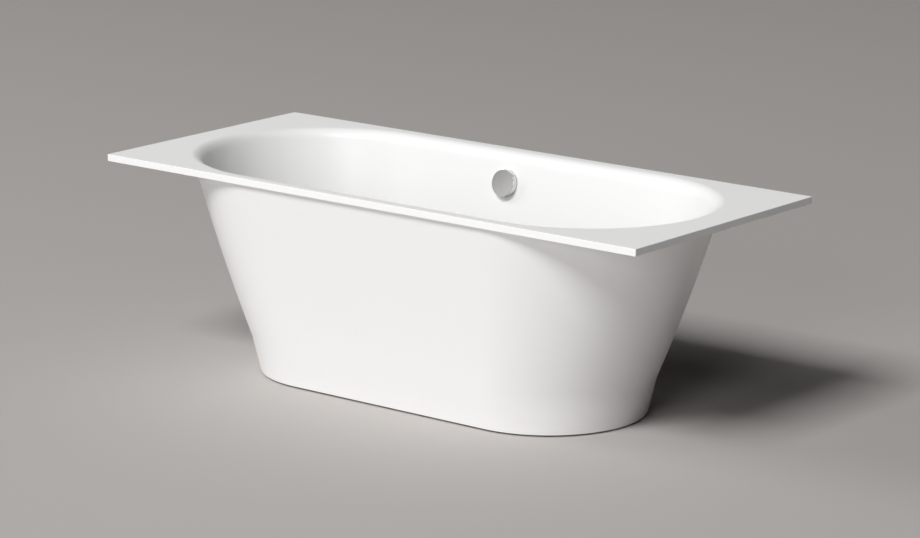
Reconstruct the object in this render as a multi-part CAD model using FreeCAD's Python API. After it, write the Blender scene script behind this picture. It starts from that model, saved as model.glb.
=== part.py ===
import FreeCAD, Part
import math
import os

# All lengths are in millimetres. The origin is on the floor under the bath's centre: X runs along the bath,
# +Y points to the wall side with the overflow, +Z points up.

# Deck: the flat rectangular rim
total_height = 575.0
deck_length = 1750.0
deck_width = 750.0
deck_thickness = 18.0
deck_edge_round = 1.5
deck_corner_round = 2.5

# Basin: the inner walls are straight between the rounded mouth and the rounded floor
underfloor_height = 138.0
mouth_end_margin = 100.0
mouth_side_margin = 51.0
mouth_round = 35.0
floor_round = 90.0
side_slope = 0.225
end_slope = 0.41
basin_end_stretch = 1.088
basin_wall = 7.0
floor_thickness = 12.0
underside_bevel = 36.0

# Skirt: it tapers from under the deck to a crease, and more steeply from there to the floor
floor_gap = 5.0
bond_thickness = 1.5
bond_setback = 1.0
skirt_wall = 7.0
skirt_clearance = 0.5
skirt_lip_width = 12.0
skirt_lip_thickness = 8.0
skirt_top_end_inset = 95.0
skirt_top_side_inset = 10.0
skirt_end_slope = 0.382
skirt_side_slope = 0.1866
skirt_end_bulge = 7.3
plinth_height = 95.0
plinth_end_slope = 0.2526
plinth_side_slope = 0.2105

# How far each half-ellipse end reaches, against its half width: skirt's top, middle, crease and base
skirt_stretch_shares = (1.066, 1.027, 1.0, 1.0)

# Each half-ellipse end is drawn as this many strips, and on hidden sides as this many chords
basin_strip_count = 30
skirt_strip_count = 45
hidden_chord_count = 20

# Cross rails under the floor, with the bosses and screws that hold them
rail_end_margin = 475.0
rail_side_margin = 175.0
rail_width = 40.0
rail_height = 25.0
rail_sheet = 2.5
boss_stud_distance = 75.0
boss_height = 28.0
boss_width = 40.0
screw_radius = 4.0
screw_length = 22.0
screw_head_across = 13.0
screw_head_height = 5.3

# Levelling feet
stud_rail_margin = 30.0
foot_pad_radius = 25.0
foot_pad_thickness = 8.0
stud_radius = 6.0
stud_top_reach = 20.0
nut_across = 18.0
support_nut_height = 10.0
lock_nut_height = 6.0
running_gap = 0.05
hole_gap = 0.6

# Overflow control on the back wall: its place, then sizes measured along its axis from the wall's inner face
overflow_x = -56.0
overflow_drop = 82.0
overflow_hole_radius = 26.0
rosette_radius = 37.0
rosette_height = 3.0
inlet_width = 20.0
inlet_depth = 2.0
neck_radius = 24.5
neck_wall = 3.0
knob_radius = 36.5
knob_height = 14.7
knob_gap = 0.8
knob_wall = 2.5
knob_hub_radius = 8.0
nose_start_angle = 68.0
nose_tip_angle = 36.6
nose_end_angle = 27.0
nose_reach = 6.3
nose_thickness = 5.0
spindle_radius = 4.0
wheel_width = 7.0
overflow_gasket_thickness = 2.5
overflow_flange_radius = 38.0
overflow_flange_thickness = 3.5
chamber_radius = 31.0
chamber_depth = 22.0
chamber_wall = 2.5
bearing_radius = 7.0
bearing_length = 5.0

# Overflow pipe beside the wall and under the floor
pipe_radius = 11.0
pipe_offset = 10.5
pipe_bend_radius = 60.0
pipe_drop = 20.0
socket_wall = 2.0
socket_length = 20.0
socket_depth = 14.0
slip_nut_across = 34.0
slip_nut_length = 12.0

# Cable sheath from the overflow to the waste
sheath_radius = 2.5
sheath_socket_wall = 1.2
sheath_socket_depth = 6.0
cable_knee_radius = 45.0
cable_turn_radius = 35.0
cable_turn_distance = 115.0
cable_bearing = 60.0

# Waste in the middle of the floor
plug_lift = 10.0
waste_hole_radius = 27.0
flange_radius = 37.5
flange_rim = 2.5
flange_seat_gap = 0.3
flange_putty = 0.8
dish_radius = 27.5
dish_drop = 5.0
throat_radius = 23.5
throat_wall = 2.5
throat_length = 29.0
bridge_width = 8.0
bridge_height = 5.0
bridge_drop = 20.0
stem_radius = 3.0
stem_tip = 2.0
plug_radius = 31.0
plug_thickness = 4.0
plug_bevel = 1.2
plug_seal_radius = 24.6
plug_seal_bore = 8.0
plug_seal_thickness = 2.0
waste_gasket_thickness = 3.0
waste_radius = 42.0
waste_wall = 3.0
waste_roof = 4.0
waste_height = 50.0
outlet_radius = 20.0
outlet_length = 32.0
guide_width = 14.0
guide_thickness = 4.0
guide_drop = 31.0
cheek_height = 6.0
cheek_thickness = 2.5
cheek_length = 40.0
cable_port_radius = 5.0
cable_port_length = 12.0

# Wedge that lifts the stem
wedge_width = 7.0
wedge_low_height = 3.0
wedge_gap = 0.3
wedge_ramp_angle = 45.0
wedge_top_length = 8.0
wedge_tail_reach = 27.0
wedge_tail_width = 5.0
wedge_tail_height = 12.0

# Levels and places that follow from the sizes above
overrun = 1.0
deck_top = total_height
deck_underside = deck_top - deck_thickness
underside = underfloor_height
floor_top = underside + floor_thickness
basin_depth = deck_top - floor_top
rail_distance = deck_length / 2 - rail_end_margin
rail_length = deck_width - 2 * rail_side_margin
foot_spacing = rail_length - 2 * stud_rail_margin
boss_spacing = foot_spacing - 2 * boss_stud_distance
skirt_top = deck_underside - bond_thickness
rail_top = underside - boss_height
rail_web_under = rail_top - rail_sheet
mouth_half_length = deck_length / 2 - mouth_end_margin
mouth_half_width = deck_width / 2 - mouth_side_margin
wall_tilt = math.atan(side_slope)
knob_bottom = rosette_height + knob_gap
knob_top = knob_bottom + knob_height
flange_face = -basin_wall - overflow_gasket_thickness
chamber_front = flange_face - overflow_flange_thickness
chamber_back = chamber_front - chamber_depth
chamber_middle = (chamber_front + chamber_back) / 2
bearing_back = chamber_back + chamber_wall
wheel_radius = plug_lift / (math.pi / 2)
wheel_middle = bearing_back + bearing_length + wedge_gap + wheel_width / 2
body_top = underside - waste_gasket_thickness
body_bottom = body_top - waste_height
inlet_level = underside - pipe_drop
dish_bottom = floor_top - dish_drop
guide_top = body_top - guide_drop
wedge_bottom = guide_top + wedge_gap
wedge_low = wedge_bottom + wedge_low_height
stem_bottom = wedge_low + wedge_gap
cable_level = wedge_bottom + wedge_tail_height - wedge_tail_width / 2
plug_bottom = floor_top + wedge_gap
axis_z = FreeCAD.Vector(0, 0, 1)


def point(x, y, z):
    return FreeCAD.Vector(x, y, z)


def ring(outer, inner, bottom, top):
    """Upright tube from bottom to top; a full rod when inner is zero."""
    shape = Part.makeCylinder(outer, top - bottom, point(0, 0, bottom))
    if inner:
        shape = shape.cut(Part.makeCylinder(inner, top - bottom, point(0, 0, bottom)))
    return shape


def turned(profile):
    """Solid of revolution about Z from (radius, height) points."""
    corners = [point(radius, 0, height) for radius, height in profile]
    return Part.Face(Part.makePolygon(corners + corners[:1])).revolve(point(0, 0, 0), axis_z, 360)


def hexagon(across, bottom, top):
    """Upright hexagonal prism."""
    radius = across / math.sqrt(3)
    turns = [math.radians(60 * n) for n in range(7)]
    outline = Part.makePolygon([point(radius * math.cos(a), radius * math.sin(a), bottom) for a in turns])
    return Part.Face(outline).extrude(point(0, 0, top - bottom))


def rod(start, end, radius):
    """Round rod between two points."""
    run = end - start
    return Part.makeCylinder(radius, run.Length, start, run)


def box_about(x, y, length, width, bottom, top):
    """Box centred on a point of the plan."""
    return Part.makeBox(length, width, top - bottom, point(x - length / 2, y - width / 2, bottom))


def moved(shape, x, y, z=0):
    copy = shape.copy()
    copy.translate(point(x, y, z))
    return copy


def facing(shape, bearing):
    """Turn a shape about Z from +X to a bearing in degrees."""
    copy = shape.copy()
    copy.rotate(point(0, 0, 0), axis_z, bearing)
    return copy


def along_x(shape):
    """Lay a shape built along Z down along X."""
    copy = shape.copy()
    copy.rotate(point(0, 0, 0), point(0, 1, 0), 90)
    return copy


# Outlines of the bath: two straights joined by half-ellipse ends
def oval(half_length, half_width, stretch, height, strips, chords=False):
    """Closed outline; the half-ellipse ends reach stretch times the half width."""
    end = stretch * half_width
    straight = half_length - end
    turn = math.pi / strips
    edges = []
    for side in (1, -1):
        start = point(-side * straight, -side * half_width, height)
        edges.append(Part.makeLine(start, point(side * straight, -side * half_width, height)))
        ellipse = Part.Ellipse(point(side * straight, 0, height), end, half_width)
        first = -side * math.pi / 2
        for n in range(strips):
            here = first + n * turn
            if chords:
                edges.append(Part.makeLine(ellipse.value(here), ellipse.value(here + turn)))
            else:
                edges.append(Part.ArcOfEllipse(ellipse, here, here + turn).toShape())
    return Part.Wire(edges)


def is_straight(edge):
    ends = [vertex.Point for vertex in edge.Vertexes]
    return abs(edge.Length - ends[0].distanceToPoint(ends[-1])) < 1e-6


def with_plane_sides(shape):
    """The same solid, with each face that straight edges bound made a true plane."""
    faces = []
    for face in shape.Faces:
        if all(is_straight(edge) for edge in face.Edges) and not isinstance(face.Surface, Part.Plane):
            u0, u1, v0, v1 = face.ParameterRange
            plane = Part.Face(Part.Wire(Part.__sortEdges__(face.Edges)))
            if plane.normalAt(0, 0).dot(face.normalAt((u0 + u1) / 2, (v0 + v1) / 2)) < 0:
                plane.reverse()
            face = plane
        faces.append(face)
    group = Part.makeCompound(faces)
    group.sewShape()
    return Part.Solid(group.Shells[0])


def loft(outlines):
    """Straight-sided solid through the outlines."""
    return with_plane_sides(Part.makeLoft(outlines, True, True))


# Basin
def wall_place(side, angle, depth):
    """Point of the inner wall on one end's half-ellipse, at a depth under the deck's top."""
    half_width = mouth_half_width - side_slope * depth
    end = basin_end_stretch * half_width
    straight = mouth_half_length - end_slope * depth - end
    return point(side * (straight + end * math.cos(angle)), half_width * math.sin(angle), deck_top - depth)


def wall_lean(side, angle):
    """Level direction towards the bather, and the angle from straight up to the wall's normal."""
    slope = basin_end_stretch * side_slope
    level = point(-side * math.cos(angle), -basin_end_stretch * math.sin(angle), 0)
    turn = math.atan2(level.Length, slope + (end_slope - slope) * math.cos(angle))
    return level.normalize(), turn


def basin_section(side, angle):
    """Rounded mouth, straight wall and rounded floor at one place of the outline, from the top down."""
    level, turn = wall_lean(side, angle)
    above, halfway = axis_z, axis_z * math.cos(turn / 2) + level * math.sin(turn / 2)
    normal = axis_z * math.cos(turn) + level * math.sin(turn)
    start = wall_place(side, angle, mouth_round * (1 - normal.z))
    end = wall_place(side, angle, basin_depth - floor_round * (1 - normal.z))
    mouth, floor = start - normal * mouth_round, end + normal * floor_round
    return Part.Wire([
        Part.Arc(mouth + above * mouth_round, mouth + halfway * mouth_round, start).toShape(),
        Part.makeLine(start, end),
        Part.Arc(end, floor - halfway * floor_round, floor - above * floor_round).toShape(),
    ])


def basin_lining():
    """Faces of the basin's inside, and the closed line where they meet the deck's top."""
    quarter = math.pi / 2
    angles = [2 * quarter * n / basin_strip_count - quarter for n in range(basin_strip_count + 1)]
    sections = [basin_section(side, side * angle) for side in (1, -1) for angle in angles]
    tops = [section.Edges[0].firstVertex(True).Point for section in sections]
    bottoms = [section.Edges[-1].lastVertex(True).Point for section in sections]
    walls = Part.makeLoft(sections, False, True, True).Faces
    floor = Part.Face(Part.makePolygon(bottoms + bottoms[:1]))
    return walls + [floor], Part.Face(Part.makePolygon(tops + tops[:1]))


def wall_growth(slope):
    """Level distance between the two faces of a basin wall."""
    return basin_wall * math.sqrt(1 + slope ** 2)


def outer_outline(depth, bevel=0):
    """Outline of the walls' hidden outer face at a depth under the deck's top."""
    half_length = mouth_half_length + wall_growth(end_slope) - bevel - end_slope * depth
    half_width = mouth_half_width + wall_growth(side_slope) - bevel - side_slope * depth
    return oval(half_length, half_width, basin_end_stretch, deck_top - depth, hidden_chord_count, True)


def basin_outside():
    """Outer face of the walls, with a bevel round the floor's edge."""
    bottom = basin_depth + floor_thickness
    top, knee = outer_outline(deck_thickness / 2), outer_outline(bottom - underside_bevel)
    return loft([top, knee]).fuse(loft([knee, outer_outline(bottom, underside_bevel)]))


def boss_places():
    return [(x, y) for x in (-rail_distance, rail_distance) for y in (-boss_spacing / 2, boss_spacing / 2)]


def deck_slab():
    middle = deck_top - deck_thickness / 2
    slab = box_about(0, 0, deck_length, deck_width, deck_underside, deck_top)
    corners = [edge for edge in slab.Edges if edge.BoundBox.ZMin < middle < edge.BoundBox.ZMax]
    slab = slab.makeFillet(deck_corner_round, corners)
    rim = [edge for edge in slab.Edges if edge.BoundBox.ZMin > middle]
    return slab.makeFillet(deck_edge_round, rim)


def make_basin():
    """The deck and the outer walls as one solid, whose top face then gives way to the lining."""
    block = deck_slab().fuse(basin_outside())
    top = max(block.Faces, key=lambda face: face.BoundBox.ZMin)
    lining, mouth = basin_lining()
    faces = [face for face in block.Faces if not face.isSame(top)] + top.cut(mouth).Faces + lining
    skin = Part.makeCompound(faces)
    skin.sewShape()
    body = Part.Solid(skin.Shells[0])
    boss = box_about(0, 0, boss_width, boss_width, rail_top, underside + overrun)
    screw_hole = ring(screw_radius, 0, rail_top, rail_top + screw_length)
    seat = floor_top - flange_rim - flange_putty
    holes = [moved(screw_hole, x, y) for x, y in boss_places()] + [
        ring(waste_hole_radius, 0, underside - overrun, floor_top + overrun),
        ring(flange_radius + flange_seat_gap, 0, seat, floor_top + overrun),
        on_wall(ring(overflow_hole_radius, 0, -basin_wall - overrun, overrun)),
    ]
    return body.fuse([moved(boss, x, y) for x, y in boss_places()]).cut(holes)


# Skirt
def skirt_levels():
    """(height, half length, half width, stretch) of each outline, from the top down."""
    crease = floor_gap + plinth_height
    fall = skirt_top - crease
    top = (skirt_top, deck_length / 2 - skirt_top_end_inset, deck_width / 2 - skirt_top_side_inset)
    low = (crease, top[1] - skirt_end_slope * fall, top[2] - skirt_side_slope * fall)
    middle = (crease + fall / 2, (top[1] + low[1]) / 2 + skirt_end_bulge, (top[2] + low[2]) / 2)
    base = (floor_gap, low[1] - plinth_end_slope * plinth_height, low[2] - plinth_side_slope * plinth_height)
    return [level + (stretch,) for level, stretch in zip((top, middle, low, base), skirt_stretch_shares)]


def skirt_outside():
    """One smooth loft down to the crease and a straight plinth under it."""
    outlines = [oval(*size, height, skirt_strip_count) for height, *size in skirt_levels()]
    return Part.makeLoft(outlines[:3], True, False).fuse(loft(outlines[2:]))


def basin_reach():
    """Half length that stays clear of the basin's end walls at the skirt's top."""
    return mouth_half_length + wall_growth(end_slope) - end_slope * deck_thickness + skirt_clearance


def skirt_inside():
    """Hollow of the skirt; at its top the ends thin down to clear the basin."""
    solids = []
    inner = []
    for height, length, width, stretch in skirt_levels():
        reach = basin_reach() if height == skirt_top else length - skirt_wall
        inner.append((height, reach, width - skirt_wall))
    inner.append((-overrun, inner[-1][1], inner[-1][2]))
    share = skirt_stretch_shares[0]
    outlines = [oval(reach, width, share, height, hidden_chord_count, True) for height, reach, width in inner]
    for upper, lower in zip(outlines, outlines[1:]):
        solids.append(loft([upper, lower]))
    return solids[0].multiFuse(solids[1:])


def skirt_hole(bottom, top):
    """Opening inside the skirt's lip and inside the bond."""
    half_width = skirt_levels()[0][2] - skirt_wall - skirt_lip_width
    outline = oval(basin_reach(), half_width, skirt_stretch_shares[0], bottom, hidden_chord_count, True)
    return Part.Face(outline).extrude(point(0, 0, top - bottom))


def make_skirt():
    lip_bottom = skirt_top - skirt_lip_thickness
    below_lip = box_about(0, 0, deck_length, deck_width, -deck_top, lip_bottom)
    hollow = skirt_inside().common(below_lip)
    return skirt_outside().cut([hollow, skirt_hole(lip_bottom - overrun, deck_top)])


def make_skirt_bond():
    height, half_length, half_width, stretch = skirt_levels()[0]
    outline = oval(half_length - bond_setback, half_width - bond_setback, stretch, height, hidden_chord_count, True)
    bead = Part.Face(outline).extrude(point(0, 0, bond_thickness))
    return bead.cut(skirt_hole(height - overrun, deck_top))


# Cross rails
def foot_places():
    return [(x, y) for x in (-rail_distance, rail_distance) for y in (-foot_spacing / 2, foot_spacing / 2)]


def make_rail(x):
    """Channel open at the bottom, with holes for two screws and two studs."""
    rail = box_about(x, 0, rail_width, rail_length, rail_top - rail_height, rail_top)
    hollow = box_about(x, 0, rail_width - 2 * rail_sheet, rail_length, rail_top - rail_height, rail_web_under)
    cuts = [hollow]
    for places, radius in ((boss_places(), screw_radius), (foot_places(), stud_radius)):
        hole = ring(radius + hole_gap, 0, rail_web_under, rail_top)
        cuts += [moved(hole, a, b) for a, b in places if a == x]
    return rail.cut(cuts)


def make_rail_screws():
    screw = ring(screw_radius, 0, rail_web_under, rail_top + screw_length)
    head = hexagon(screw_head_across, rail_web_under - screw_head_height, rail_web_under)
    return Part.makeCompound([moved(screw.fuse(head), x, y) for x, y in boss_places()])


def make_nuts(bottom, top):
    nut = hexagon(nut_across, bottom, top).cut(ring(stud_radius + running_gap, 0, bottom, top))
    return Part.makeCompound([moved(nut, x, y) for x, y in foot_places()])


def make_foot():
    """Pad and threaded stud in one piece."""
    pad = ring(foot_pad_radius, 0, 0, foot_pad_thickness)
    return pad.fuse(ring(stud_radius, 0, foot_pad_thickness, rail_top + stud_top_reach))


# Overflow: built about its own axis, then laid on the sloping back wall
def on_wall(shape):
    """Place a shape whose Z is the overflow's axis, with zero on the wall's inner face."""
    placed = shape.copy()
    placed.rotate(point(0, 0, 0), point(1, 0, 0), 90 - math.degrees(wall_tilt))
    wall_y = mouth_half_width - side_slope * overflow_drop
    placed.translate(point(overflow_x, wall_y, deck_top - overflow_drop))
    return placed


def wall_point(x, y, z):
    return on_wall(Part.Vertex(x, y, z)).Point


def make_overflow_flange():
    """Ring on the wall with a threaded neck through it and a notch at its foot for the water."""
    bore = neck_radius - neck_wall
    flange = turned([
        (bore, rosette_height), (bore, chamber_front), (neck_radius, chamber_front), (neck_radius, 0),
        (rosette_radius, 0), (rosette_radius, rosette_height),
    ])
    floor = rosette_height - inlet_depth
    notch = box_about(0, -rosette_radius / 2, inlet_width, rosette_radius, floor, rosette_height)
    return on_wall(flange.cut(notch))


def make_overflow_gasket():
    return on_wall(ring(overflow_flange_radius, neck_radius + running_gap, flange_face, -basin_wall))


def knob_edge(radius, angle):
    turn = math.radians(angle)
    return point(radius * math.cos(turn), radius * math.sin(turn), knob_top - nose_thickness)


def knob_face():
    """Outline of the knob's front: round, but running out straight to a nose that steps back."""
    leave, back = knob_edge(knob_radius, nose_start_angle), knob_edge(knob_radius, nose_end_angle)
    far = knob_edge(-knob_radius, (nose_start_angle + nose_end_angle) / 2)
    tip = knob_edge(knob_radius + nose_reach, nose_tip_angle)
    return Part.Wire([Part.Arc(leave, far, back).toShape(), Part.makeLine(back, tip), Part.makeLine(tip, leave)])


def make_overflow_knob():
    """Round cup with a nose on its face and a hub for the spindle."""
    face = Part.Face(knob_face()).extrude(point(0, 0, nose_thickness))
    cup = ring(knob_radius, 0, knob_bottom, knob_top - nose_thickness).fuse(face)
    hollow = ring(knob_radius - knob_wall, knob_hub_radius, knob_bottom, knob_top - knob_wall)
    bore = ring(spindle_radius, 0, knob_bottom, knob_top - knob_wall)
    return on_wall(cup.cut([hollow, bore]).removeSplitter())


def make_control_spindle():
    """Shaft from the knob's hub to the rear bearing, with a wheel that takes up the cable."""
    back, front = wheel_middle - wheel_width / 2, wheel_middle + wheel_width / 2
    return on_wall(turned([
        (0, bearing_back), (spindle_radius, bearing_back), (spindle_radius, back), (wheel_radius, back),
        (wheel_radius, front), (spindle_radius, front), (spindle_radius, knob_top - knob_wall),
        (0, knob_top - knob_wall),
    ]))


def make_overflow_body():
    """Flat housing behind the wall: flange, chamber, spindle bearing and sockets for the pipe and the cable."""
    pipe_bore = pipe_radius + running_gap
    foot = -chamber_radius - socket_length
    pipe_top, pipe_end = point(-pipe_offset, 0, chamber_middle), point(-pipe_offset, foot, chamber_middle)
    cable_top, cable_end = point(wheel_radius, 0, wheel_middle), point(wheel_radius, foot, wheel_middle)
    pipe_stop = point(-pipe_offset, foot + socket_depth, chamber_middle)
    sheath_stop = point(wheel_radius, foot + sheath_socket_depth, wheel_middle)
    shell = ring(chamber_radius, 0, chamber_back, chamber_front).multiFuse([
        ring(overflow_flange_radius, 0, chamber_front, flange_face),
        rod(pipe_top, pipe_end, pipe_bore + socket_wall),
        rod(cable_top, cable_end, sheath_radius + sheath_socket_wall),
    ])
    shell = shell.cut([
        ring(neck_radius + running_gap, 0, chamber_front, flange_face),
        ring(chamber_radius - chamber_wall, 0, bearing_back, chamber_front),
        rod(pipe_stop, pipe_end, pipe_bore),
        rod(sheath_stop, cable_end, sheath_radius),
    ])
    bearing = ring(bearing_radius, spindle_radius + running_gap, bearing_back, bearing_back + bearing_length)
    return on_wall(shell.fuse(bearing))


# Routes: straight runs joined by tangent arcs
def rounded_route(corners, radii):
    """Wire through the corners, each inner one rounded by its radius."""
    edges = []
    last = corners[0]
    for before, here, after, radius in zip(corners, corners[1:], corners[2:], radii):
        back, on = (before - here).normalize(), (after - here).normalize()
        half = back.getAngle(on) / 2
        start, end = here + back * (radius / math.tan(half)), here + on * (radius / math.tan(half))
        middle = here + (back + on).normalize() * (radius / math.sin(half) - radius)
        edges.append(Part.makeLine(last, start))
        edges.append(Part.Arc(start, middle, end).toShape())
        last = end
    edges.append(Part.makeLine(last, corners[-1]))
    return Part.Wire(edges)


def swept(corners, radii, radius):
    """Round bar along a route."""
    circle = Part.Wire(Part.makeCircle(radius, corners[0], corners[1] - corners[0]))
    return rounded_route(corners, radii).makePipeShell([circle], True, False)


def knee_below(x, z, level):
    """Where a line down the outside of the wall meets a level; x and z are in the overflow's own frame."""
    start, fall = wall_point(x, 0, z), wall_point(x, -1, z) - wall_point(x, 0, z)
    return start + fall * ((level - start.z) / fall.z)


def pipe_corners():
    """Overflow pipe: down behind the wall, then level towards the waste."""
    top = wall_point(-pipe_offset, -chamber_radius - socket_length + socket_depth, chamber_middle)
    knee = knee_below(-pipe_offset, chamber_middle, inlet_level)
    inward = point(-knee.x, -knee.y, 0).normalize()
    reach = math.hypot(knee.x, knee.y) - waste_radius
    return [top, knee, knee + inward * reach]


def inlet_bearing():
    knee = pipe_corners()[1]
    return math.degrees(math.atan2(knee.y, knee.x))


def make_overflow_pipe():
    """Pipe from the overflow to the waste; both ends are hidden in sockets, so it's solid inside."""
    return swept(pipe_corners(), [pipe_bend_radius], pipe_radius)


def make_slip_nut():
    """Hexagonal nut that holds the pipe in the waste's inlet."""
    nut = hexagon(slip_nut_across, 0, slip_nut_length).cut(ring(pipe_radius + running_gap, 0, 0, slip_nut_length))
    reach = waste_radius + socket_length
    return facing(moved(along_x(nut), reach, 0, inlet_level), inlet_bearing())


def cable_corners():
    """Sheath: down behind the wall beside the pipe, then under the floor and up to the waste's cable port."""
    top = wall_point(wheel_radius, -chamber_radius - socket_length + sheath_socket_depth, wheel_middle)
    knee = knee_below(wheel_radius, wheel_middle, cable_level)
    bearing = math.radians(cable_bearing)
    outward = point(math.cos(bearing), math.sin(bearing), 0)
    level = point(0, 0, cable_level)
    turn = outward * cable_turn_distance + level
    port = outward * (waste_radius + cable_port_length - sheath_socket_depth) + level
    return [top, knee, turn, port]


def make_cable_sheath():
    return swept(cable_corners(), [cable_knee_radius, cable_turn_radius], sheath_radius)


# Waste: built about its own axis through the floor's middle
def make_waste_flange():
    """Dished ring with a threaded throat, and a bridge whose bore guides the stem."""
    bore = throat_radius - throat_wall
    under = floor_top - flange_rim
    flange = turned([
        (flange_radius, floor_top), (flange_radius, under), (throat_radius, under),
        (throat_radius, floor_top - throat_length), (bore, floor_top - throat_length), (bore, dish_bottom),
        (dish_radius, floor_top),
    ])
    bridge_top = floor_top - bridge_drop
    bridge = box_about(0, 0, 2 * bore + throat_wall, bridge_width, bridge_top - bridge_height, bridge_top)
    hole = ring(stem_radius + running_gap, 0, bridge_top - bridge_height, bridge_top)
    return flange.fuse(bridge).cut(hole)


def make_plug_cap():
    """Flat cap with a bevelled edge."""
    top = plug_bottom + plug_thickness
    return turned([
        (0, plug_bottom), (plug_radius, plug_bottom), (plug_radius, top - plug_bevel),
        (plug_radius - plug_bevel, top), (0, top),
    ])


def make_plug_seal():
    return ring(plug_seal_radius, plug_seal_bore, plug_bottom - plug_seal_thickness, plug_bottom)


def make_plug_stem():
    shaft = stem_bottom + stem_tip
    return turned([(0, stem_bottom), (stem_radius, shaft), (stem_radius, plug_bottom), (0, plug_bottom)])


def make_waste_gasket():
    return ring(waste_radius, waste_hole_radius, body_top, underside)


def make_waste_body():
    """Chamber under the floor: threaded roof, overflow inlet, cable port, the wedge's guide and the outlet."""
    inner = waste_radius - waste_wall
    roof = body_top - waste_roof
    outlet = outlet_radius - waste_wall
    end = body_bottom - outlet_length
    shell = turned([
        (throat_radius, body_top), (waste_radius, body_top), (waste_radius, body_bottom),
        (outlet_radius, body_bottom), (outlet_radius, end), (outlet, end), (outlet, body_bottom + waste_wall),
        (inner, body_bottom + waste_wall), (inner, roof), (throat_radius, roof),
    ])
    inlet_bore = pipe_radius + running_gap
    inlet, inlet_end = point(inner, 0, inlet_level), point(waste_radius + socket_length, 0, inlet_level)
    port, port_end = point(inner, 0, cable_level), point(waste_radius + cable_port_length, 0, cable_level)
    port_stop = port_end - point(sheath_socket_depth, 0, 0)
    shell = shell.multiFuse([
        facing(rod(inlet, inlet_end, inlet_bore + socket_wall), inlet_bearing()),
        facing(rod(port, port_end, cable_port_radius), cable_bearing),
    ])
    inlet_start = point(outlet_radius, 0, inlet_level)
    shell = shell.cut([
        facing(rod(inlet_start, inlet_end, inlet_bore), inlet_bearing()),
        facing(rod(port_stop, port_end, sheath_radius), cable_bearing),
    ])
    bar = box_about(0, 0, 2 * inner + waste_wall, guide_width, guide_top - guide_thickness, guide_top)
    side = wedge_width / 2 + wedge_gap + cheek_thickness / 2
    cheeks = [
        box_about(0, y, cheek_length, cheek_thickness, guide_top, guide_top + cheek_height) for y in (-side, side)
    ]
    return shell.fuse([facing(piece, cable_bearing) for piece in [bar] + cheeks])


def make_lift_wedge():
    """Slide with a ramp under the stem and a tail that rises to the cable."""
    ramp = math.radians(wedge_ramp_angle)
    foot = stem_tip - stem_radius + wedge_gap * (1 - 1 / math.cos(ramp))
    peak = foot - plug_lift / math.tan(ramp)
    high = wedge_low + plug_lift
    tail = wedge_tail_reach
    profile = [
        (peak - wedge_top_length, wedge_bottom), (tail, wedge_bottom), (tail, wedge_bottom + wedge_tail_height),
        (tail - wedge_tail_width, wedge_bottom + wedge_tail_height), (tail - wedge_tail_width, wedge_low),
        (foot, wedge_low), (peak, high), (peak - wedge_top_length, high),
    ]
    corners = [point(x, -wedge_width / 2, z) for x, z in profile]
    wedge = Part.Face(Part.makePolygon(corners + corners[:1])).extrude(point(0, wedge_width, 0))
    return facing(wedge, cable_bearing)


def all_nodes():
    nodes = {
        "basin": make_basin(),
        "skirt": make_skirt(),
        "skirt_bond": make_skirt_bond(),
        "rail_left": make_rail(-rail_distance),
        "rail_right": make_rail(rail_distance),
        "rail_screws": make_rail_screws(),
        "support_nuts": make_nuts(rail_web_under - support_nut_height, rail_web_under),
        "lock_nuts": make_nuts(rail_top, rail_top + lock_nut_height),
        "overflow_flange": make_overflow_flange(),
        "overflow_gasket": make_overflow_gasket(),
        "overflow_body": make_overflow_body(),
        "overflow_knob": make_overflow_knob(),
        "control_spindle": make_control_spindle(),
        "overflow_pipe": make_overflow_pipe(),
        "slip_nut": make_slip_nut(),
        "cable_sheath": make_cable_sheath(),
        "waste_flange": make_waste_flange(),
        "plug_cap": make_plug_cap(),
        "plug_seal": make_plug_seal(),
        "plug_stem": make_plug_stem(),
        "lift_wedge": make_lift_wedge(),
        "waste_gasket": make_waste_gasket(),
        "waste_body": make_waste_body(),
    }
    for n, (x, y) in enumerate(foot_places(), start=1):
        nodes[f"foot_{n}"] = moved(make_foot(), x, y)
    return nodes


os.makedirs("parts", exist_ok=True)
for name, shape in all_nodes().items():
    shape.exportStep(f"parts/{name}.step")
    print(name, len(shape.Solids), "solid, valid", shape.isValid(), round(shape.Volume / 1000, 2), "cm3")
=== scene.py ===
import math
from collections import namedtuple

import bmesh
import bpy
from mathutils import Matrix, Vector
from mathutils.geometry import tessellate_polygon


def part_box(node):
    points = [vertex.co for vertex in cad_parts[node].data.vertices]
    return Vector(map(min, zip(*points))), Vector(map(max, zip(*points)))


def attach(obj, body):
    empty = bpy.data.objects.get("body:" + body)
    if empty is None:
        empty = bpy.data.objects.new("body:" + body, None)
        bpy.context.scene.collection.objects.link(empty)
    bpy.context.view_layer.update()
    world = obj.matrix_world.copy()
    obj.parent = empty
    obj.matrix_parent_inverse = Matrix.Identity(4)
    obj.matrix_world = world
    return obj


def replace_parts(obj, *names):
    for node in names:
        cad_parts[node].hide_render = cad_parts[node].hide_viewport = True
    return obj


# All lengths are in metres. The origin is on the floor under the bath's centre, +Y points to the wall side.
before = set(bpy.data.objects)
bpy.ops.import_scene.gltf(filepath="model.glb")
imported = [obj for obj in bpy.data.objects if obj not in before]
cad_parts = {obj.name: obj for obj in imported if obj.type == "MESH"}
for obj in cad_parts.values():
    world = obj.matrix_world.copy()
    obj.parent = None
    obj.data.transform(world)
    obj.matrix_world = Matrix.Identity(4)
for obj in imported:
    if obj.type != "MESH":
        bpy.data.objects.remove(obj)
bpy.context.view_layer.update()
basin_low, basin_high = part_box("basin")
skirt_low, skirt_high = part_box("skirt")

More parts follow.
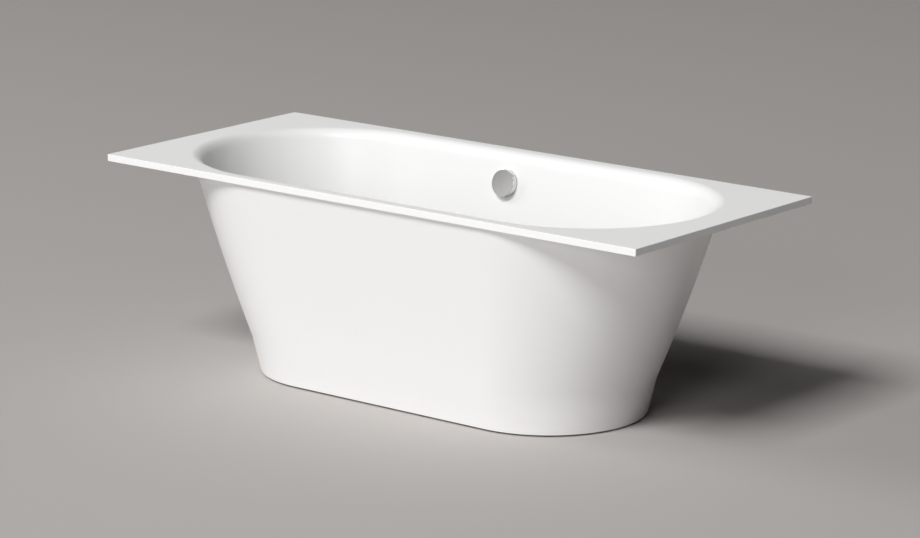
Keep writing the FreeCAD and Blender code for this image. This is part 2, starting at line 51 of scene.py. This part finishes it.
# Deck and basin: a slope is a step inwards for each step down
DECK_LENGTH = basin_high.x - basin_low.x
DECK_WIDTH = basin_high.y - basin_low.y
DECK_TOP = basin_high.z
DECK_THICKNESS = 0.018
DECK_EDGE_ROUND = 0.0015
DECK_CORNER_ROUND = 0.0025
MOUTH_END_MARGIN = 0.100
MOUTH_SIDE_MARGIN = 0.051
MOUTH_HALF_LENGTH = DECK_LENGTH / 2 - MOUTH_END_MARGIN
MOUTH_HALF_WIDTH = DECK_WIDTH / 2 - MOUTH_SIDE_MARGIN
MOUTH_ROUND = 0.035
BASIN_DEPTH = 0.425
FLOOR_ROUND = 0.090
SIDE_SLOPE = 0.225
END_SLOPE = 0.41
BASIN_STRETCH = 1.088
BASIN_WALL = 0.007
FLOOR_THICKNESS = 0.012
UNDERSIDE_BEVEL = 0.036
BASIN_FLOOR = DECK_TOP - BASIN_DEPTH
BASIN_UNDERSIDE = BASIN_FLOOR - FLOOR_THICKNESS
BOSS_X = 0.400
BOSS_Y = 0.095
BOSS_HALF_WIDTH = 0.020

# Waste recess and overflow hole
RECESS_RADIUS = 0.0378
RECESS_DEPTH = 0.0033
WASTE_HOLE_RADIUS = 0.027
OVERFLOW_X = -0.056
OVERFLOW_DROP = 0.082
OVERFLOW_HOLE_RADIUS = 0.026
OVERFLOW_DRILL_ENDS = (2 * BASIN_WALL, -3 * BASIN_WALL)

# Skirt: its ends are stretched ovals at the top and in the middle, and half circles from the crease down
SKIRT_END_SLOPE = 0.382
SKIRT_SIDE_SLOPE = 0.1866
SKIRT_END_BULGE = 0.0073
PLINTH_HEIGHT = 0.095
PLINTH_END_SLOPE = 0.2526
PLINTH_SIDE_SLOPE = 0.2105
SKIRT_STRETCH_SHARES = (1.066, 1.027, 1.0, 1.0)
SKIRT_WALL = 0.007
SKIRT_CLEARANCE = 0.0005
SKIRT_LIP_WIDTH = 0.012
SKIRT_LIP_THICKNESS = 0.008

# Knob, in the overflow's own frame: heights are above the basin's wall, angles are counted from the right
KNOB_RADIUS = 0.0365
KNOB_BOTTOM = 0.0038
KNOB_TOP = 0.0185
KNOB_WALL = 0.0025
KNOB_ROUND = 0.0008
KNOB_DISH = 0.0005
NOSE_START_ANGLE = math.radians(68.0)
NOSE_TIP_ANGLE = math.radians(36.6)
NOSE_END_ANGLE = math.radians(27.0)
NOSE_REACH = 0.0063
NOSE_TIP_ROUND = 0.0012
NOSE_THICKNESS = 0.005

# How finely the smooth surfaces are divided
END_STEPS = 96
SIDE_STEPS = 40
MOUTH_STEPS = 16
WALL_STEPS = 8
FLOOR_STEPS = 20
CORNER_STEPS = 6
EDGE_STEPS = 6
SKIRT_STEPS = 24
PLINTH_STEPS = 3
CIRCLE_STEPS = 96
DRILL_STEPS = 64
KNOB_STEPS = 120
KNOB_ROUND_STEPS = 5
NOSE_TIP_STEPS = 8
NOSE_STEP_SHARES = (0.0, 0.5)
NOSE_RUN_SHARES = (0.25, 0.5, 0.75)
DISH_SHARES = (0.98, 0.92, 0.8, 0.65, 0.5, 0.35, 0.2, 0.05)

# Meshes: points closer than the weld distance are one, and edges bent further than an angle stay sharp
WELD_DISTANCE = 1e-6
LEAST_EDGE = 1e-7
SHARP_DEGREES = 35
SKIRT_SHARP_DEGREES = 25

# Looks: a darker and a lighter colour of each pattern, or the lighter one alone
CASTING_COLOURS = ((0.872, 0.870, 0.867), (0.886, 0.884, 0.881))
CASTING_SPECULAR = 0.3
CHROME_COLOURS = ((0.66, 0.655, 0.65), (0.70, 0.695, 0.69))
ZINC_COLOUR = (0.62, 0.64, 0.66)
ZINC_METALLIC = 0.9
ZINC_DARKER = 0.85
MOULDING_DARKER = 0.9
MOULDING_ROUGHNESS_SPAN = 0.1
GREY_COLOUR = (0.34, 0.35, 0.36)
WHITE_COLOUR = (0.78, 0.78, 0.77)
BLACK_COLOUR = (0.030, 0.030, 0.032)
SEAL_COLOUR = (0.022, 0.022, 0.022)
BOND_COLOUR = (0.72, 0.72, 0.70)
FLOOR_COLOURS = ((0.502, 0.479, 0.463), (0.514, 0.491, 0.475))
FLOOR_ROUGHNESS = 0.5
GRAIN_HEIGHT = 0.0002

# Studio
STUDIO_HALF_WIDTH = 40
LAMP_AIM = Vector((0, 0, 0.3))
LAMP_DISTANCE = 30.0
BACKDROP_COLOUR = (1.0, 0.985, 0.97, 1)
BACKDROP_GREY = 0.5

# What mirrors see of the backdrop, in shares of its grey: left and right on the lamps' side, and behind.
# The edge between left and right is in a direction's X less its Z, and the fades are in its Y and its Z.
LEFT_SHINE = 1.70
RIGHT_SHINE = 0.85
BACK_SHINE = 1.7
SHINE_EDGE = (-0.82, -0.67)
BACKDROP_FADE = 0.25
SKY_FADE = (0.60, 0.90)

# The photo's camera: lens and sensor in millimetres, angles in degrees
CAMERA_PLACE = (5.931, -7.246, 2.5845)
CAMERA_DOWN = 13.577
CAMERA_TURN = 39.15
CAMERA_LENS = 144.27
CAMERA_SENSOR = 36.0

UP = Vector((0, 0, 1))


# Outlines
def spread(count):
    return [n / count for n in range(count + 1)]


def between(start, end, share):
    return start + (end - start) * share


def quarter_turn(steps):
    return [math.pi / 2 * share for share in spread(steps)]


def stations():
    """Places round an outline: (side, angle) on the ends, (side, share) along the straights."""
    places = []
    for side in (1, -1):
        first = -side * math.pi / 2
        places += [("end", side, first + math.pi * n / END_STEPS) for n in range(END_STEPS)]
        places += [("straight", side, n / SIDE_STEPS) for n in range(SIDE_STEPS)]
    return places


STATIONS = stations()


def outline_point(place, half_length, half_width, stretch, z):
    kind, side, value = place
    end = stretch * half_width
    straight = half_length - end
    if kind == "end":
        return Vector((side * straight + end * math.cos(value), half_width * math.sin(value), z))
    return Vector((side * straight * (1 - 2 * value), side * half_width, z))


def oval(half_length, half_width, stretch, z):
    return [outline_point(place, half_length, half_width, stretch, z) for place in STATIONS]


def turned_to(radius, angle, z=0.0):
    return Vector((radius * math.cos(angle), radius * math.sin(angle), z))


def circle(radius, z, steps=CIRCLE_STEPS):
    return [turned_to(radius, 2 * math.pi * n / steps, z) for n in range(steps)]


def square(half_width, z, centre=(0, 0)):
    corners = ((1, 1), (-1, 1), (-1, -1), (1, -1))
    return [Vector((centre[0] + x * half_width, centre[1] + y * half_width, z)) for x, y in corners]


def deck_outline(inset, z):
    """Rectangle with small round corners."""
    radius = DECK_CORNER_ROUND - inset
    x, y = DECK_LENGTH / 2 - DECK_CORNER_ROUND, DECK_WIDTH / 2 - DECK_CORNER_ROUND
    ring = []
    for quarter, (side_x, side_y) in enumerate(((1, -1), (1, 1), (-1, 1), (-1, -1))):
        for share in spread(CORNER_STEPS):
            angle = math.pi / 2 * (quarter - 1 + share)
            round_x, round_y = radius * math.cos(angle), radius * math.sin(angle)
            ring.append(Vector((side_x * x + round_x, side_y * y + round_y, z)))
    return ring


# Mesh making
class Surface:
    """Faces collected ring by ring, welded and shaded smooth at the end."""

    def __init__(self, name):
        self.name = name
        self.mesh = bmesh.new()

    def verts(self, ring):
        return [self.mesh.verts.new(point) for point in ring]

    def band(self, rings):
        """Quads between rings with the same number of points."""
        rows = [self.verts(ring) for ring in rings]
        for upper, lower in zip(rows, rows[1:]):
            for n in range(len(upper)):
                m = (n + 1) % len(upper)
                self.mesh.faces.new((upper[n], upper[m], lower[m], lower[n]))

    def sheet(self, outer, inner=None):
        """Flat face inside one ring, or between two rings."""
        loops = [outer, inner] if inner else [outer]
        points = self.verts([point for loop in loops for point in loop])
        flat = [[Vector((point.x, point.y, 0)) for point in loop] for loop in loops]
        for corners in tessellate_polygon(flat):
            self.mesh.faces.new([points[n] for n in corners])

    def finish(self, matrix=Matrix.Identity(4), sharp_degrees=SHARP_DEGREES):
        bmesh.ops.remove_doubles(self.mesh, verts=self.mesh.verts, dist=WELD_DISTANCE)
        bmesh.ops.dissolve_degenerate(self.mesh, dist=LEAST_EDGE, edges=self.mesh.edges)
        bmesh.ops.recalc_face_normals(self.mesh, faces=self.mesh.faces)
        data = bpy.data.meshes.new(self.name)
        self.mesh.to_mesh(data)
        self.mesh.free()
        data.transform(matrix)
        data.shade_smooth()
        data.set_sharp_from_angle(angle=math.radians(sharp_degrees))
        piece = bpy.data.objects.new(self.name, data)
        bpy.context.scene.collection.objects.link(piece)
        normals = piece.modifiers.new("even_normals", "WEIGHTED_NORMAL")
        normals.keep_sharp = True
        return piece


# Basin
def wall_section(depth, end_growth=0.0, side_growth=0.0):
    """Half length, half width, stretch and height of the basin's inside, or of a larger oval, at a depth."""
    return (
        MOUTH_HALF_LENGTH + end_growth - END_SLOPE * depth,
        MOUTH_HALF_WIDTH + side_growth - SIDE_SLOPE * depth,
        BASIN_STRETCH,
        DECK_TOP - depth,
    )


def wall_point(place, depth):
    return outline_point(place, *wall_section(depth))


def wall_normal(place):
    """Normal of the inner wall, towards the bather; it's the same at every depth."""
    kind, side, value = place
    if kind == "straight":
        return Vector((0, -side, SIDE_SLOPE)).normalized()
    across = BASIN_STRETCH * SIDE_SLOPE
    lift = between(across, END_SLOPE, abs(math.cos(value)))
    return Vector((-math.cos(value), -BASIN_STRETCH * math.sin(value), lift)).normalized()


def wall_growth(slope):
    """How far a wall's outside lies from its inside on the level."""
    return BASIN_WALL * math.sqrt(1 + slope ** 2)


def leaning(normal, angle):
    """Direction at an angle from straight up, leaning the way the normal leans."""
    level = Vector((normal.x, normal.y, 0)).normalized()
    return UP * math.cos(angle) + level * math.sin(angle)


def lining_column(place):
    """Points from the mouth's outer edge over its round, down the wall and through the floor's round."""
    normal = wall_normal(place)
    turn = math.acos(normal.z)
    top = MOUTH_ROUND * (1 - normal.z)
    bottom = BASIN_DEPTH - FLOOR_ROUND * (1 - normal.z)
    centre = wall_point(place, top) - normal * MOUTH_ROUND
    column = [centre + leaning(normal, turn * share) * MOUTH_ROUND for share in spread(MOUTH_STEPS)]
    column += [wall_point(place, between(top, bottom, share)) for share in spread(WALL_STEPS)[1:]]
    centre = wall_point(place, bottom) + normal * FLOOR_ROUND
    column += [
        centre - leaning(normal, turn * (1 - share)) * FLOOR_ROUND for share in spread(FLOOR_STEPS)[1:]
    ]
    return column


def deck_edge_rings():
    """Rings over the round of the deck's edge and down to its underside."""
    rings = []
    for angle in quarter_turn(EDGE_STEPS):
        inset, drop = DECK_EDGE_ROUND * (1 - math.sin(angle)), DECK_EDGE_ROUND * (1 - math.cos(angle))
        rings.append(deck_outline(inset, DECK_TOP - drop))
    return rings + [deck_outline(0, DECK_TOP - DECK_THICKNESS)]


def outside_rings():
    """Rings down the basin's outside, from the deck to the bevel and over it to the underside."""
    ends, sides = wall_growth(END_SLOPE), wall_growth(SIDE_SLOPE)
    bottom = BASIN_DEPTH + FLOOR_THICKNESS
    return [
        oval(*wall_section(DECK_THICKNESS, ends, sides)),
        oval(*wall_section(bottom - UNDERSIDE_BEVEL, ends, sides)),
        oval(*wall_section(bottom, ends - UNDERSIDE_BEVEL, sides - UNDERSIDE_BEVEL)),
    ]


def waste_rings():
    """Rings from the basin's floor over the recess and down through the waste hole."""
    seat = BASIN_FLOOR - RECESS_DEPTH
    return [
        circle(RECESS_RADIUS, BASIN_FLOOR), circle(RECESS_RADIUS, seat),
        circle(WASTE_HOLE_RADIUS, seat), circle(WASTE_HOLE_RADIUS, BASIN_UNDERSIDE),
    ]


def add_bosses(shell):
    for place in [(x, y) for x in (-BOSS_X, BOSS_X) for y in (-BOSS_Y, BOSS_Y)]:
        top = square(BOSS_HALF_WIDTH, BASIN_UNDERSIDE, place)
        foot = square(BOSS_HALF_WIDTH, basin_low.z, place)
        shell.band([top, foot])
        shell.sheet(foot)


def make_basin():
    shell = Surface("basin_casting")
    lining = [list(ring) for ring in zip(*(lining_column(place) for place in STATIONS))]
    edge, outside, waste = deck_edge_rings(), outside_rings(), waste_rings()
    shell.band(lining)
    shell.band(edge)
    shell.sheet(edge[0], lining[0])
    shell.band(outside)
    shell.sheet(edge[-1], outside[0])
    shell.sheet(lining[-1], waste[0])
    shell.band(waste)
    shell.sheet(outside[-1], waste[-1])
    add_bosses(shell)
    piece = shell.finish()
    cut_overflow_hole(piece)
    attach(piece, "tub")
    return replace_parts(piece, "basin")


def overflow_matrix():
    """From the overflow's own frame, with Z towards the bather, to the bath's frame."""
    tilt = math.atan(SIDE_SLOPE)
    cosine, sine = math.cos(tilt), math.sin(tilt)
    return Matrix((
        (1, 0, 0, OVERFLOW_X),
        (0, sine, -cosine, MOUTH_HALF_WIDTH - SIDE_SLOPE * OVERFLOW_DROP),
        (0, cosine, sine, DECK_TOP - OVERFLOW_DROP),
        (0, 0, 0, 1),
    ))


def cut_overflow_hole(piece):
    drill = Surface("overflow_drill")
    ends = [circle(OVERFLOW_HOLE_RADIUS, z, DRILL_STEPS) for z in OVERFLOW_DRILL_ENDS]
    drill.band(ends)
    drill.sheet(ends[0])
    drill.sheet(ends[1])
    tool = drill.finish(overflow_matrix())
    cut = piece.modifiers.new("overflow_hole", "BOOLEAN")
    cut.operation = "DIFFERENCE"
    cut.solver = "EXACT"
    cut.object = tool
    piece.modifiers.move(len(piece.modifiers) - 1, 0)
    graph = bpy.context.evaluated_depsgraph_get()
    whole = bpy.data.meshes.new_from_object(piece.evaluated_get(graph))
    piece.modifiers.clear()
    piece.data = whole
    bpy.data.objects.remove(tool)


# Skirt
Level = namedtuple("Level", "z half_length half_width stretch")


def skirt_levels():
    """The skirt's outline at the top, half way to the crease, at the crease and at the foot."""
    top, crease = skirt_high.z, skirt_low.z + PLINTH_HEIGHT
    fall = top - crease
    length, width = (skirt_high.x - skirt_low.x) / 2, (skirt_high.y - skirt_low.y) / 2
    crease_length, crease_width = length - SKIRT_END_SLOPE * fall, width - SKIRT_SIDE_SLOPE * fall
    foot_length = crease_length - PLINTH_END_SLOPE * PLINTH_HEIGHT
    foot_width = crease_width - PLINTH_SIDE_SLOPE * PLINTH_HEIGHT
    sizes = (
        (top, length, width),
        (crease + fall / 2, (length + crease_length) / 2 + SKIRT_END_BULGE, (width + crease_width) / 2),
        (crease, crease_length, crease_width),
        (skirt_low.z, foot_length, foot_width),
    )
    return [Level(*size, stretch) for size, stretch in zip(sizes, SKIRT_STRETCH_SHARES)]


SKIRT_TOP, SKIRT_MIDDLE, SKIRT_CREASE, SKIRT_FOOT = skirt_levels()
LIP_UNDERSIDE = SKIRT_TOP.z - SKIRT_LIP_THICKNESS
HOLE_HALF_LENGTH = MOUTH_HALF_LENGTH + wall_growth(END_SLOPE) - END_SLOPE * DECK_THICKNESS + SKIRT_CLEARANCE
HOLE_HALF_WIDTH = SKIRT_TOP.half_width - SKIRT_WALL - SKIRT_LIP_WIDTH


def level_sizes(level):
    return level.half_length, level.half_width, level.half_width * level.stretch


def skirt_section(z):
    """Half length, half width and end reach at a height: one curve to the crease, straight below it."""
    if z <= SKIRT_CREASE.z:
        share = (z - SKIRT_FOOT.z) / (SKIRT_CREASE.z - SKIRT_FOOT.z)
        pairs = zip(level_sizes(SKIRT_FOOT), level_sizes(SKIRT_CREASE))
        return [between(low, high, share) for low, high in pairs]
    curve = (SKIRT_TOP, SKIRT_MIDDLE, SKIRT_CREASE)
    weights = [
        math.prod((z - other.z) / (level.z - other.z) for other in curve if other is not level)
        for level in curve
    ]
    rows = zip(*(level_sizes(level) for level in curve))
    return [sum(weight * size for weight, size in zip(weights, row)) for row in rows]


def skirt_ring(z):
    half_length, half_width, end = skirt_section(z)
    return oval(half_length, half_width, end / half_width, z)


def skirt_outer_rings():
    heights = [between(SKIRT_TOP.z, SKIRT_CREASE.z, share) for share in spread(SKIRT_STEPS)]
    heights += [between(SKIRT_CREASE.z, SKIRT_FOOT.z, share) for share in spread(PLINTH_STEPS)[1:]]
    return [skirt_ring(z) for z in heights]


def skirt_inner_rings():
    """Rings down the skirt's inside, from under the lip to the foot."""
    stretch = SKIRT_TOP.stretch
    share = (LIP_UNDERSIDE - SKIRT_MIDDLE.z) / (SKIRT_TOP.z - SKIRT_MIDDLE.z)
    lip_length = between(SKIRT_MIDDLE.half_length - SKIRT_WALL, HOLE_HALF_LENGTH, share)
    lip_width = between(SKIRT_MIDDLE.half_width, SKIRT_TOP.half_width, share) - SKIRT_WALL
    rings = [oval(lip_length, lip_width, stretch, LIP_UNDERSIDE)]
    for level in (SKIRT_MIDDLE, SKIRT_CREASE, SKIRT_FOOT):
        rings.append(oval(level.half_length - SKIRT_WALL, level.half_width - SKIRT_WALL, stretch, level.z))
    return rings


def lip_hole_rings():
    """Top and bottom ring of the hole in the lip, which the basin passes through."""
    sizes = (HOLE_HALF_LENGTH, HOLE_HALF_WIDTH, SKIRT_TOP.stretch)
    return [oval(*sizes, z) for z in (SKIRT_TOP.z, LIP_UNDERSIDE)]


def make_skirt():
    shell = Surface("skirt_casting")
    outer, hole, inner = skirt_outer_rings(), lip_hole_rings(), skirt_inner_rings()
    shell.band(outer)
    shell.sheet(outer[0], hole[0])
    shell.band(hole)
    shell.sheet(inner[0], hole[1])
    shell.band(inner)
    shell.sheet(outer[-1], inner[-1])
    piece = shell.finish(sharp_degrees=SKIRT_SHARP_DEGREES)
    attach(piece, "tub")
    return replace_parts(piece, "skirt")


# Knob
def nose_points():
    """(place, outward direction) along the nose, from its step over the tip to where it leaves the round."""
    back, leave = turned_to(KNOB_RADIUS, NOSE_END_ANGLE), turned_to(KNOB_RADIUS, NOSE_START_ANGLE)
    tip = turned_to(KNOB_RADIUS + NOSE_REACH, NOSE_TIP_ANGLE)
    step = (tip - back).cross(UP).normalized()
    run = (leave - tip).cross(UP).normalized()
    centre = tip - (step + run) * (NOSE_TIP_ROUND / (1 + step.dot(run)))
    points = [(back.lerp(centre + step * NOSE_TIP_ROUND, share), step) for share in NOSE_STEP_SHARES]
    for share in spread(NOSE_TIP_STEPS):
        facing = step.slerp(run, share)
        points.append((centre + facing * NOSE_TIP_ROUND, facing))
    points += [((centre + run * NOSE_TIP_ROUND).lerp(leave, share), run) for share in NOSE_RUN_SHARES]
    return points


def knob_ring(height, inset=0.0, nose=True):
    """Outline of the knob's front, or of its drum where the nose is left out."""
    nosed = nose_points()
    span = NOSE_START_ANGLE - NOSE_END_ANGLE
    turns = [NOSE_START_ANGLE + (2 * math.pi - span) * n / KNOB_STEPS for n in range(KNOB_STEPS)]
    ring = [turned_to(KNOB_RADIUS - inset, turn) for turn in turns]
    if nose:
        ring += [place - outward * inset for place, outward in nosed]
    else:
        ring += [turned_to(KNOB_RADIUS, NOSE_END_ANGLE + span * n / len(nosed)) for n in range(len(nosed))]
    return [point + UP * height for point in ring]


def dished(ring, share):
    """A ring of the knob's front, shrunk to a share and lowered the more the nearer it is to the middle."""
    places = []
    for point in ring:
        reach = min(math.hypot(point.x, point.y) * share / KNOB_RADIUS, 1.0)
        places.append(Vector((point.x * share, point.y * share, KNOB_TOP - KNOB_DISH * (1 - reach ** 2))))
    return places


def make_knob():
    shell = Surface("knob_cap")
    under = KNOB_TOP - NOSE_THICKNESS
    rings = [knob_ring(KNOB_BOTTOM, nose=False), knob_ring(under, nose=False), knob_ring(under)]
    for angle in quarter_turn(KNOB_ROUND_STEPS):
        drop, inset = KNOB_ROUND * (1 - math.sin(angle)), KNOB_ROUND * (1 - math.cos(angle))
        rings.append(knob_ring(KNOB_TOP - drop, inset))
    rings += [dished(rings[-1], share) for share in DISH_SHARES]
    shell.band(rings)
    shell.sheet(rings[-1])
    inside = [circle(KNOB_RADIUS - KNOB_WALL, z) for z in (KNOB_BOTTOM, KNOB_TOP - KNOB_WALL)]
    shell.sheet(rings[0], inside[0])
    shell.band(inside)
    shell.sheet(inside[-1])
    piece = shell.finish(overflow_matrix())
    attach(piece, "knob")
    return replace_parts(piece, "overflow_knob")


# Materials
def new_material(name):
    material = bpy.data.materials.new(name)
    material.use_nodes = True
    return material, material.node_tree, material.node_tree.nodes["Principled BSDF"]


def noise(tree, scale, detail=4.0):
    place = tree.nodes.new("ShaderNodeTexCoord")
    texture = tree.nodes.new("ShaderNodeTexNoise")
    texture.inputs["Scale"].default_value = scale
    texture.inputs["Detail"].default_value = detail
    tree.links.new(place.outputs["Object"], texture.inputs["Vector"])
    return texture.outputs["Fac"]


def flakes(tree, scale):
    place = tree.nodes.new("ShaderNodeTexCoord")
    texture = tree.nodes.new("ShaderNodeTexVoronoi")
    texture.inputs["Scale"].default_value = scale
    tree.links.new(place.outputs["Object"], texture.inputs["Vector"])
    return texture.outputs["Distance"]


def ramp(tree, value, across, results):
    """Number that goes from one result to the other as a value goes across."""
    spreader = tree.nodes.new("ShaderNodeMapRange")
    spreader.inputs["From Min"].default_value, spreader.inputs["From Max"].default_value = across
    spreader.inputs["To Min"].default_value, spreader.inputs["To Max"].default_value = results
    tree.links.new(value, spreader.inputs["Value"])
    return spreader.outputs["Result"]


def combine(tree, operation, first, second):
    """Result of a sum on two sockets, or on a socket and a number."""
    node = tree.nodes.new("ShaderNodeMath")
    node.operation = operation
    tree.links.new(first, node.inputs[0])
    if isinstance(second, float):
        node.inputs[1].default_value = second
    else:
        tree.links.new(second, node.inputs[1])
    return node.outputs["Value"]


def tint(tree, shader, pattern, colours):
    """Drive the base colour between two colours by a pattern."""
    mix = tree.nodes.new("ShaderNodeMix")
    mix.data_type = "RGBA"
    dark, light = colours
    mix.inputs["A"].default_value = (*dark, 1)
    mix.inputs["B"].default_value = (*light, 1)
    tree.links.new(pattern, mix.inputs["Factor"])
    tree.links.new(mix.outputs["Result"], shader.inputs["Base Color"])


def roughen(tree, shader, pattern, smooth, rough):
    """Drive the roughness between two values by a pattern."""
    tree.links.new(ramp(tree, pattern, (0.0, 1.0), (smooth, rough)), shader.inputs["Roughness"])


def relief(tree, shader, pattern, strength):
    bump = tree.nodes.new("ShaderNodeBump")
    bump.inputs["Strength"].default_value = strength
    bump.inputs["Distance"].default_value = GRAIN_HEIGHT
    tree.links.new(pattern, bump.inputs["Height"])
    tree.links.new(bump.outputs["Normal"], shader.inputs["Normal"])


def darker_and_plain(colour, share):
    return [channel * share for channel in colour], colour


def casting_material():
    material, tree, shader = new_material("casting")
    tint(tree, shader, noise(tree, scale=3.0), CASTING_COLOURS)
    roughen(tree, shader, noise(tree, scale=9.0), smooth=0.30, rough=0.36)
    relief(tree, shader, noise(tree, scale=900.0, detail=2.0), strength=0.04)
    shader.inputs["Specular IOR Level"].default_value = CASTING_SPECULAR
    return material


def chrome_material():
    material, tree, shader = new_material("chrome")
    shader.inputs["Metallic"].default_value = 1.0
    tint(tree, shader, noise(tree, scale=60.0), CHROME_COLOURS)
    roughen(tree, shader, noise(tree, scale=240.0), smooth=0.06, rough=0.12)
    return material


def zinc_material():
    """Zinc coated steel: mottled colour and roughness."""
    material, tree, shader = new_material("zinc")
    shader.inputs["Metallic"].default_value = ZINC_METALLIC
    tint(tree, shader, flakes(tree, scale=160.0), darker_and_plain(ZINC_COLOUR, ZINC_DARKER))
    roughen(tree, shader, noise(tree, scale=80.0), smooth=0.30, rough=0.45)
    relief(tree, shader, noise(tree, scale=500.0), strength=0.1)
    return material


def moulded_material(name, colour, smooth):
    """Moulded plastic or rubber with a fine grain."""
    material, tree, shader = new_material(name)
    tint(tree, shader, noise(tree, scale=40.0), darker_and_plain(colour, MOULDING_DARKER))
    roughen(tree, shader, noise(tree, scale=120.0), smooth, smooth + MOULDING_ROUGHNESS_SPAN)
    relief(tree, shader, noise(tree, scale=1500.0), strength=0.12)
    return material


def floor_material():
    material, tree, shader = new_material("studio_floor")
    tint(tree, shader, noise(tree, scale=0.4), FLOOR_COLOURS)
    shader.inputs["Roughness"].default_value = FLOOR_ROUGHNESS
    shader.inputs["Specular IOR Level"].default_value = 0.0
    return material


def cover(data, material):
    data.materials.clear()
    data.materials.append(material)


def dress(basin, skirt, knob):
    """Give every piece and every CAD node its material."""
    casting, chrome, zinc = casting_material(), chrome_material(), zinc_material()
    grey = moulded_material("grey_moulding", GREY_COLOUR, smooth=0.42)
    white = moulded_material("white_moulding", WHITE_COLOUR, smooth=0.38)
    black = moulded_material("black_moulding", BLACK_COLOUR, smooth=0.45)
    seal = moulded_material("seal_rubber", SEAL_COLOUR, smooth=0.70)
    bond = moulded_material("bond", BOND_COLOUR, smooth=0.60)
    looks = (
        (casting, ("basin", "skirt")),
        (bond, ("skirt_bond",)),
        (zinc, ("rail_left", "rail_right", "rail_screws", "support_nuts", "lock_nuts", "plug_stem")),
        (zinc, ("foot_1", "foot_2", "foot_3", "foot_4")),
        (chrome, ("overflow_flange", "overflow_knob", "waste_flange", "plug_cap")),
        (seal, ("overflow_gasket", "plug_seal", "waste_gasket")),
        (grey, ("overflow_body", "slip_nut", "waste_body")),
        (white, ("control_spindle", "overflow_pipe", "lift_wedge")),
        (black, ("cable_sheath",)),
    )
    for material, names in looks:
        for name in names:
            cover(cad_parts[name].data, material)
    for piece, material in ((basin, casting), (skirt, casting), (knob, chrome)):
        cover(piece.data, material)


# Studio
def make_floor():
    shell = Surface("studio_floor")
    shell.sheet(square(STUDIO_HALF_WIDTH, 0))
    floor = shell.finish()
    floor.modifiers.clear()
    floor.data.materials.append(floor_material())


def studio_lamp(name, azimuth, elevation, size, power):
    """Large soft lamp aimed at the bath: azimuth in degrees from the front towards the right."""
    light = bpy.data.lights.new(name, "AREA")
    light.shape = "RECTANGLE"
    light.size, light.size_y = size
    light.energy = power
    turn, lift = math.radians(azimuth), math.radians(elevation)
    away = Vector((math.sin(turn) * math.cos(lift), -math.cos(turn) * math.cos(lift), math.sin(lift)))
    lamp = bpy.data.objects.new(name, light)
    lamp.location = LAMP_AIM + away * LAMP_DISTANCE
    lamp.rotation_euler = away.to_track_quat("Z", "Y").to_euler()
    lamp.visible_camera = False
    bpy.context.scene.collection.objects.link(lamp)


def mirrored_share(tree, way):
    """Share of the backdrop's grey that mirrors see: on the lamps' side, above, and behind."""
    front = ramp(tree, way.outputs["Y"], (BACKDROP_FADE, -BACKDROP_FADE), (0.0, 1.0))
    above = ramp(tree, way.outputs["Z"], SKY_FADE, (0.0, 1.0))
    slant = combine(tree, "SUBTRACT", way.outputs["X"], way.outputs["Z"])
    level = ramp(tree, slant, SHINE_EDGE, (LEFT_SHINE, RIGHT_SHINE))
    lit = combine(tree, "MULTIPLY", combine(tree, "MAXIMUM", front, above), level)
    behind = ramp(tree, way.outputs["Y"], (0.0, BACKDROP_FADE), (0.0, BACK_SHINE))
    return combine(tree, "MAXIMUM", lit, behind)


def make_backdrop():
    """World that lights nothing: the camera sees it grey all round, chrome and deck mirror parts of it."""
    world = bpy.data.worlds.new("studio")
    world.use_nodes = True
    tree = world.node_tree
    sky = tree.nodes["Background"]
    sky.inputs["Color"].default_value = BACKDROP_COLOUR
    path = tree.nodes.new("ShaderNodeLightPath")
    way = tree.nodes.new("ShaderNodeSeparateXYZ")
    tree.links.new(tree.nodes.new("ShaderNodeTexCoord").outputs["Generated"], way.inputs["Vector"])
    shine = combine(tree, "MULTIPLY", path.outputs["Is Glossy Ray"], mirrored_share(tree, way))
    seen = combine(tree, "MAXIMUM", path.outputs["Is Camera Ray"], shine)
    tree.links.new(combine(tree, "MULTIPLY", seen, BACKDROP_GREY), sky.inputs["Strength"])
    bpy.context.scene.world = world


def make_lights():
    studio_lamp("key", azimuth=4, elevation=48, size=(11, 9), power=6880)
    studio_lamp("low_front", azimuth=15, elevation=15, size=(10, 10), power=2050)
    studio_lamp("left_side", azimuth=-64, elevation=32, size=(12, 10), power=2050)
    studio_lamp("strip", azimuth=6, elevation=2.5, size=(10, 1.5), power=750)
    make_backdrop()


def make_camera():
    data = bpy.data.cameras.new("camera")
    data.lens = CAMERA_LENS
    data.sensor_width = CAMERA_SENSOR
    camera = bpy.data.objects.new("camera", data)
    camera.location = CAMERA_PLACE
    camera.rotation_euler = (math.radians(90 - CAMERA_DOWN), 0, math.radians(CAMERA_TURN))
    bpy.context.scene.collection.objects.link(camera)
    bpy.context.scene.camera = camera


bpy.context.scene.view_settings.view_transform = "Standard"
dress(make_basin(), make_skirt(), make_knob())
make_floor()
make_lights()
make_camera()
